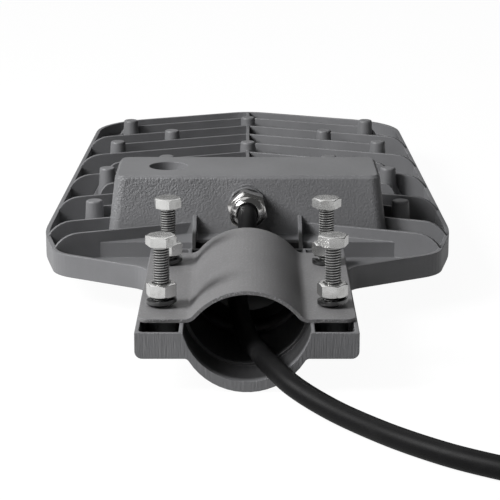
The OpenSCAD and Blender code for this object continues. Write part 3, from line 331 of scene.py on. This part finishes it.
def turned(name, profile, centre, axis, steps=64):
    """A profile of (radius, height) in millimetres, spun round the axis through centre."""
    centre, axis = Vector(centre), Vector(axis)
    side = Vector((0, 0, 1)) if abs(axis.y) > 0.5 else Vector((1, 0, 0))
    piece = outline(name, [centre + side * r / 1000 + axis * h / 1000 for r, h in profile])
    bpy.ops.mesh.select_all(action="SELECT")
    bpy.ops.mesh.spin(steps=steps, angle=2 * math.pi, center=centre, axis=axis)
    return closed_up(piece)


def apply_modifier(piece, kind, **settings):
    """Adds a modifier to a piece and applies it at once."""
    modifier = piece.modifiers.new(kind.lower(), kind)
    for key, value in settings.items():
        setattr(modifier, key, value)
    bpy.context.view_layer.objects.active = piece
    bpy.ops.object.modifier_apply(modifier=modifier.name)


def cut_with(piece, cutter, operation):
    """Boolean of a piece with a cutter, which is used up."""
    apply_modifier(piece, "BOOLEAN", object=cutter, operation=operation, solver="EXACT")
    bpy.data.objects.remove(cutter)


def hexagon(name, flats, low, high, centre, axis, turn, both_ends, edge=0.12):
    """A hexagon bar between two heights, its corners turned off at 28 degrees. Sizes in millimetres."""
    centre, axis = Vector(centre), Vector(axis)
    bpy.ops.object.select_all(action="DESELECT")
    bpy.ops.mesh.primitive_cylinder_add(
        vertices=6, radius=flats / 2000 / math.cos(math.pi / 6), depth=(high - low) / 1000,
        location=(0, 0, (high + low) / 2000))
    piece = bpy.context.object
    piece.name = name
    bpy.ops.object.transform_apply(location=True, rotation=True, scale=True)
    if edge:
        apply_modifier(piece, "BEVEL", width=edge / 1000, segments=2, limit_method="ANGLE",
                       angle_limit=math.radians(25))
    tilt = axis.to_track_quat("Z", "X").to_matrix().to_4x4()
    piece.data.transform(Matrix.Translation(centre) @ tilt @ Matrix.Rotation(math.radians(turn), 4, "Z"))
    face, rim, slope = flats * 0.455, flats * 0.6, math.radians(28)
    drop = (rim - face) * math.tan(slope)
    foot = [(rim, low + drop), (face, low)] if both_ends else [(rim, low)]
    profile = [(0, high), (face, high), (rim, high - drop)] + foot + [(0, low)]
    cut_with(piece, turned(name + "_cutter", profile, centre, axis), "INTERSECT")
    return piece


def joined(pieces, name):
    """Several meshes as one piece."""
    bpy.ops.object.select_all(action="DESELECT")
    for piece in pieces:
        piece.select_set(True)
    bpy.context.view_layer.objects.active = pieces[0]
    bpy.ops.object.join()
    pieces[0].name = name
    return pieces[0]


def fixed(piece, body, slot, material, *replaced):
    """Gives a finished piece its material, its body and the nodes that it stands for; the slot is not used.
    """
    bpy.ops.object.select_all(action="DESELECT")
    piece.select_set(True)
    bpy.context.view_layer.objects.active = piece
    bpy.ops.object.shade_smooth_by_angle(angle=smooth_below)
    apply_modifier(piece, "WEIGHTED_NORMAL", keep_sharp=True)
    piece.data.materials.clear()
    piece.data.materials.append(material)
    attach(piece, body)
    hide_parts(*replaced)


tip, seat, head_top = -15.7, 24.3, 29.6
inside_head = seat + 0.4
across_flats = 13
pitch, root, crest, outside = 1.25, 3.28, 3.93, 4.2
thread = outline("thread", [Vector((r, 0, tip + h - pitch)) / 1000 for r, h in (
    (root, 0), (root, 0.14), (crest, 0.54), (crest, 0.70), (root, 1.10), (root, pitch))])
bpy.ops.object.mode_set(mode="OBJECT")
apply_modifier(thread, "SCREW", axis="Z", angle=2 * math.pi, screw_offset=pitch / 1000, iterations=34,
               steps=28, render_steps=28, use_merge_vertices=True, merge_threshold=weld)
bpy.ops.object.mode_set(mode="EDIT")
for height, keep_above in ((tip + 0.05, True), (inside_head, False)):
    bpy.ops.mesh.select_all(action="SELECT")
    bpy.ops.mesh.bisect(plane_co=(0, 0, height / 1000), plane_no=(0, 0, 1), use_fill=True,
                        clear_inner=keep_above, clear_outer=not keep_above)
closed_up(thread)
thread_end = turned("thread_end", [
    (0, tip), (2.9, tip), (outside, tip + 1.0), (outside, inside_head), (0, inside_head)], origin, up)
cut_with(thread, thread_end, "INTERSECT")
head = hexagon("bolt_head", across_flats, seat + 0.35, head_top, origin, up, 0, False)
collar = turned("bolt_collar", [
    (0, inside_head), (6.1, inside_head), (6.1, seat), (3.9, seat), (3.6, seat - 0.6), (0, seat - 0.6)],
    origin, up)
bolt = joined([head, collar, thread], "bolt_front_left")


def copied(piece, name, move):
    """A copy with a mesh of its own, moved by a matrix."""
    copy = piece.copy()
    copy.data = piece.data.copy()
    copy.name = name
    bpy.context.scene.collection.objects.link(copy)
    copy.data.transform(move)
    return copy


def at_bolt(word, turn=0):
    """The move from the origin to a bolt's axis, after a turn about Z in degrees."""
    x, y = places[word]
    return Matrix.Translation((x / 1000, y / 1000, 0)) @ Matrix.Rotation(math.radians(turn), 4, "Z")


bolts = [copied(bolt, "bolt_" + word, at_bolt(word, turn))
         for word, turn in (("front_left", 22), ("front_right", 43), ("rear_left", 8), ("rear_right", 31))]
bpy.data.objects.remove(bolt)
for piece in bolts:
    fixed(piece, "housing", "zinc_steel", zinc.material, "clamp_bolts")

# Nuts: M8 hexagon nuts, zinc plated, chamfered on both faces and countersunk at the thread.
# They hold the saddle down on its spring washers and turn on the bolts.
nut_low, nut_high, nut_turn = -0.2, 6.3, 16
nut = hexagon("nut", across_flats, nut_low, nut_high, origin, up, nut_turn, True)
nut_bore = turned("nut_bore", [
    (0, -1), (5.4, -1), (4.05, 0.45), (4.05, 5.65), (5.4, 7.1), (0, 7.1)], origin, up)
cut_with(nut, nut_bore, "DIFFERENCE")
for word in places:
    hex_nut = copied(nut, "hex_nut_" + word, at_bolt(word))
    fixed(hex_nut, "nut_" + word, "zinc_steel", zinc.material, "nut_" + word)
bpy.data.objects.remove(nut)

# Spring washers: one open turn of square spring steel wire each, zinc plated, its two ends
# standing apart because the nuts are only turned on by hand.
# The washers are coloured far darker than the zinc of the bolts: painted shade of the gap between nut and
# saddle.
shaded_spring_steel = Finish("shaded_spring_steel", (0.13, 0.13, 0.13), 0.24, 1.0, grain=0.5, depth=0.006, spread=0.1)
shaded_spring_steel.done()
inner, outer, low, high = 4.3, 7.2, -5, -2.9
washer = outline("washer", [Vector(p) / 1000 for p in (
    (inner, 0, low), (outer, 0, low), (outer, 0, high), (inner, 0, high))])
bpy.ops.mesh.select_all(action="SELECT")
bpy.ops.mesh.edge_face_add()
bpy.ops.mesh.bevel(offset=0.00025, segments=2, affect="VERTICES")
bpy.ops.mesh.delete(type="ONLY_FACE")
bpy.ops.object.mode_set(mode="OBJECT")
apply_modifier(washer, "SCREW", axis="Z", angle=math.radians(348), screw_offset=0.0026,
               steps=56, render_steps=56)
bpy.ops.object.mode_set(mode="EDIT")
bpy.ops.mesh.select_all(action="DESELECT")
bpy.ops.mesh.select_non_manifold(extend=False, use_wire=False, use_boundary=True, use_multi_face=False,
                                 use_non_contiguous=False, use_verts=False)
bpy.ops.mesh.edge_face_add()
closed_up(washer)
washers = [copied(washer, "washer_" + word, at_bolt(word, 66 if "front" in word else 156))
           for word in places]
bpy.data.objects.remove(washer)
for piece in washers:
    fixed(piece, "saddle", "zinc_steel", shaded_spring_steel.material, "spring_washers")

# Cable gland: body and cap nut turned from hexagon brass, nickel plated, with a rubber sleeve
# that is squeezed onto the cable, screwed through the wall of the driver box. Heights are minus Y.
nickel = Finish("nickel_brass", (0.80, 0.79, 0.775), 0.19, 1.0, grain=0.5, depth=0.002, spread=0.05)
nickel.height = nickel.height + 0.004 * nickel.noise(0.5, 2, (0.05, 1, 0.05))
nickel.done()
axis_at, outwards, turn = (0, 0, 0.0095), (0, -1, 0), 43
body_flats, cap_flats, edge = 18, 19.5, 0.2
body_hex = hexagon("gland_body_hex", body_flats, -181.96, -176.96, axis_at, outwards, turn, True, edge)
body_neck = turned("gland_neck", [
    (8.0, -190), (8.0, -181.8), (8.0, -177.1), (7.4, -176.8), (7.4, -170.8), (5.5, -170.8), (5.5, -190),
    (8.0, -190)], axis_at, outwards)
body = joined([body_hex, body_neck], "gland_body_turned")
fixed(body, "housing", "nickel_brass", nickel.material, "gland_body")
cap_hex = hexagon("gland_cap_hex", cap_flats, -176.66, -169.16, axis_at, outwards, turn, True, edge)
cap_bore = turned("gland_cap_bore", [
    (0, -177.8), (7.5, -177.8), (7.5, -167.8), (0, -167.8)], axis_at, outwards)
cut_with(cap_hex, cap_bore, "DIFFERENCE")
dome = turned("gland_dome", [
    (7.6, -170.8), (8.3, -169.7), (8.35, -169.1), (8.2, -168.4), (7.8, -167.7), (7.2, -167), (6.7, -166.55),
    (6.2, -166.25), (5.75, -166.16), (5.45, -166.3), (5.4, -166.7), (5.4, -169.7), (7.5, -171),
    (7.6, -170.8)], axis_at, outwards)
cap = joined([cap_hex, dome], "gland_cap_turned")
fixed(cap, "housing", "nickel_brass", nickel.material, "gland_cap")
seal = turned("gland_sleeve", [
    (5.05, -180.8), (6.4, -180.8), (6.4, -170.2), (5.35, -169.6), (5.3, -166.6), (5.12, -166.3),
    (5.05, -166.4), (5.05, -180.8)], axis_at, outwards)
black = Finish("black_rubber", (0.018, 0.018, 0.018), 0.6, grain=0.5, depth=0.03, spread=0.1)
black.done()
fixed(seal, "housing", "black_rubber", black.material, "gland_seal")
ring = turned("gland_ring", [
    (8.1, -183.1), (9.5, -183.1), (9.55, -182.7), (9.5, -182), (8.1, -182), (8.1, -183.1)], axis_at, outwards)
fixed(ring, "housing", "black_rubber", black.material, "gland_o_ring")

# Screws: stainless pan head screws with a hexagon socket hold the driver cover, the lens frame
# and the LED boards from below.
steel = Finish("stainless", (0.60, 0.60, 0.61), 0.3, 1.0, grain=0.4, depth=0.008, spread=0.08)
# Edges painted lighter in patches: partly rubbed, partly a painted highlight.
steel.soft_edges(0.12, 0.3, (0.8, 0.8, 0.8))
steel.done()
head_height = 2.4
screw = turned("screw", [
    (0, 6), (1.7, 6), (2.0, 5.5), (2.0, 0), (3.9, 0), (4.0, -0.3), (3.9, -1.1), (3.4, -1.8), (2.6, -2.25),
    (1.5, -head_height), (0, -head_height)], origin, up, 32)
cut_with(screw, hexagon("socket", 2.8, -3.5, -1.1, origin, up, 0, False, edge=0), "DIFFERENCE")


def screws(node, size):
    """One screw for each solid of the node, its head as low as the solid's."""
    vertices = [v.co.copy() for v in nodes[node].data.vertices]
    low = min(v.z for v in vertices)
    head_width, tolerance, clearance = 0.008, 0.0003, 0.999
    seats = []
    for v in vertices:
        if v.z < low + tolerance and not any((v - s).length < head_width for s in seats):
            seats.append(v)
            near = [w for w in vertices if (w.xy - v.xy).length < head_width + 0.0005]
            x, y = [(min(w[i] for w in near) + max(w[i] for w in near)) / 2 for i in (0, 1)]
            move = Matrix.Translation((x, y, low + head_height / 1000 * size))
            piece = copied(screw, node[:-1] + "_" + str(len(seats)), move @ Matrix.Scale(clearance * size, 4))
            fixed(piece, "housing", "stainless", steel.material, node)


for node, size in (("cover_screws", 1), ("frame_screws", 1), ("board_screws", 0.75)):
    screws(node, size)
bpy.data.objects.remove(screw)

# Pieces inside the driver box and under the lenses keep their CAD shapes: leads, cores, terminal
# block, driver, gaskets, LED boards, LEDs and the clear moulded optics.
white = Finish("white_plastic", (0.78, 0.76, 0.68), 0.45, grain=0.8, depth=0.02)
case = Finish("driver_case", (0.70, 0.70, 0.71), 0.38, 1.0, grain=0.6, depth=0.02)
case.roughness = case.roughness + 0.12 * case.noise(0.8, 3, (0.06, 1, 1))
silicone = Finish("grey_silicone", (0.42, 0.42, 0.42), 0.62, grain=0.8, depth=0.03)
red = Finish("lead_red", (0.45, 0.02, 0.02), 0.4, grain=0.4, depth=0.01)
grey_lead = Finish("lead_grey", (0.30, 0.30, 0.30), 0.45, grain=0.4, depth=0.01)
board = Finish("board_white", (0.82, 0.82, 0.80), 0.35, grain=0.6, depth=0.01)
first_column, column_pitch = 0.0405, 0.01025
across_board = board.node("ShaderNodeMath", {"operation": "PINGPONG"}, {
    0: abs(board.axis("X")) - first_column, 1: column_pitch})
track = abs(across_board - 0.0031).fade(0.0011, 0.0009)
board.colour = board.mix(track * 0.5, board.colour, (0.62, 0.63, 0.58))
board.height = board.height + 0.035 * track
phosphor = Finish("led_yellow", (0.86, 0.66, 0.12), 0.3, grain=0.4, depth=0.01)
clear = Finish("lens_clear", (0.93, 0.95, 0.96), 0.12, grain=1.5, depth=0.004, spread=0.02)
clear.shader.inputs["Transmission Weight"].default_value = 1.0
clear.shader.inputs["IOR"].default_value = 1.49
earth = Finish("earth_core", earth_green, 0.42, grain=0.4, depth=0.01)
band_width = 0.0016
band = earth.node("ShaderNodeMath", {"operation": "PINGPONG"}, {
    0: earth.axis("Z") + 0.35 * earth.axis("X"), 1: band_width})
earth.colour = earth.mix(
    abs(band - band_width / 2).fade(band_width / 4, 0.0003), earth.colour, earth_yellow)
for finish in (white, case, silicone, red, grey_lead, board, phosphor, clear, earth):
    finish.done()
for finish, names in (
        (nickel, ["gland_locknut"]), (zinc, ["terminal_screw", "driver_screws"]), (rubber, ["cable_inner"]),
        (brown, ["mains_core_brown"]), (blue, ["mains_core_blue"]), (white, ["terminal_block"]),
        (case, ["led_driver"]), (grey_lead, ["driver_leads"]), (red, ["led_lead_red", "board_link"]),
        (black, ["led_lead_black"]), (silicone, ["cover_gasket", "lens_gasket"]),
        (board, ["led_board_left", "led_board_right"]), (phosphor, ["leds_left", "leds_right"]),
        (clear, ["lens_left", "lens_right"]), (earth, ["mains_core_earth"])):
    dressed(finish, *names)

# Studio: a pale floor that the light lies on, a white surround and soft lamps, the strongest
# from the upper left.
bpy.ops.object.select_all(action="DESELECT")
bpy.ops.mesh.primitive_plane_add(size=14, location=(0, 0, -0.0352))
floor = bpy.context.object
floor.name = "studio_floor"
pale = Finish("studio_floor", (0.45, 0.45, 0.45), 0.8, grain=30, depth=0.0, spread=0.002)
pale.done()
straight, mirrored, through = [pale.node("ShaderNodeLightPath", out="Is " + kind + " Ray") for kind in (
    "Camera", "Glossy", "Transmission")]
seen = straight.maths("MAXIMUM", straight, through) + 0.4 * mirrored
glow = pale.node("ShaderNodeEmission", None, {"Color": (1, 1, 1, 1), "Strength": 1.12})
plain = Value(pale, pale.shader.outputs[0])
mixed = pale.node("ShaderNodeMixShader", None, {0: seen * 0.85, 1: plain, 2: glow})
pale.join(pale.tree.nodes["Material Output"].inputs["Surface"], mixed)
floor.data.materials.append(pale.material)
world = bpy.data.worlds.new("studio")
bpy.context.scene.world = world
world.use_nodes = True
tree = world.node_tree
path = tree.nodes.new("ShaderNodeLightPath")
soft = tree.nodes["Background"]
soft.inputs["Color"].default_value = (1, 1, 1, 1)
soft.inputs["Strength"].default_value = 0.055
bright = tree.nodes.new("ShaderNodeBackground")
bright.inputs["Strength"].default_value = 1.0
shown = tree.nodes.new("ShaderNodeMath")
shown.operation = "MAXIMUM"
tree.links.new(path.outputs["Is Camera Ray"], shown.inputs[0])
tree.links.new(path.outputs["Is Transmission Ray"], shown.inputs[1])
blend = tree.nodes.new("ShaderNodeMixShader")
tree.links.new(shown.outputs[0], blend.inputs[0])
tree.links.new(soft.outputs[0], blend.inputs[1])
tree.links.new(bright.outputs[0], blend.inputs[2])
tree.links.new(blend.outputs[0], tree.nodes["World Output"].inputs["Surface"])
aim = Vector((0, 0.2, 0))
for name, place, size, power in (
        ("key_lamp", (-0.88, -0.18, 0.75), 0.5, 19), ("front_lamp", (-0.8, -1.3, 0.7), 0.8, 6),
        ("top_lamp", (-0.5, 0.7, 1.6), 1.4, 4), ("back_lamp", (-0.2, 1.8, 1.2), 1.2, 4)):
    bpy.ops.object.light_add(type="AREA", location=place)
    lamp = bpy.context.object
    lamp.name = name
    lamp.data.size = size
    lamp.data.energy = power
    lamp.rotation_euler = (aim - Vector(place)).to_track_quat("-Z", "Y").to_euler()
bpy.context.scene.view_settings.view_transform = "Standard"
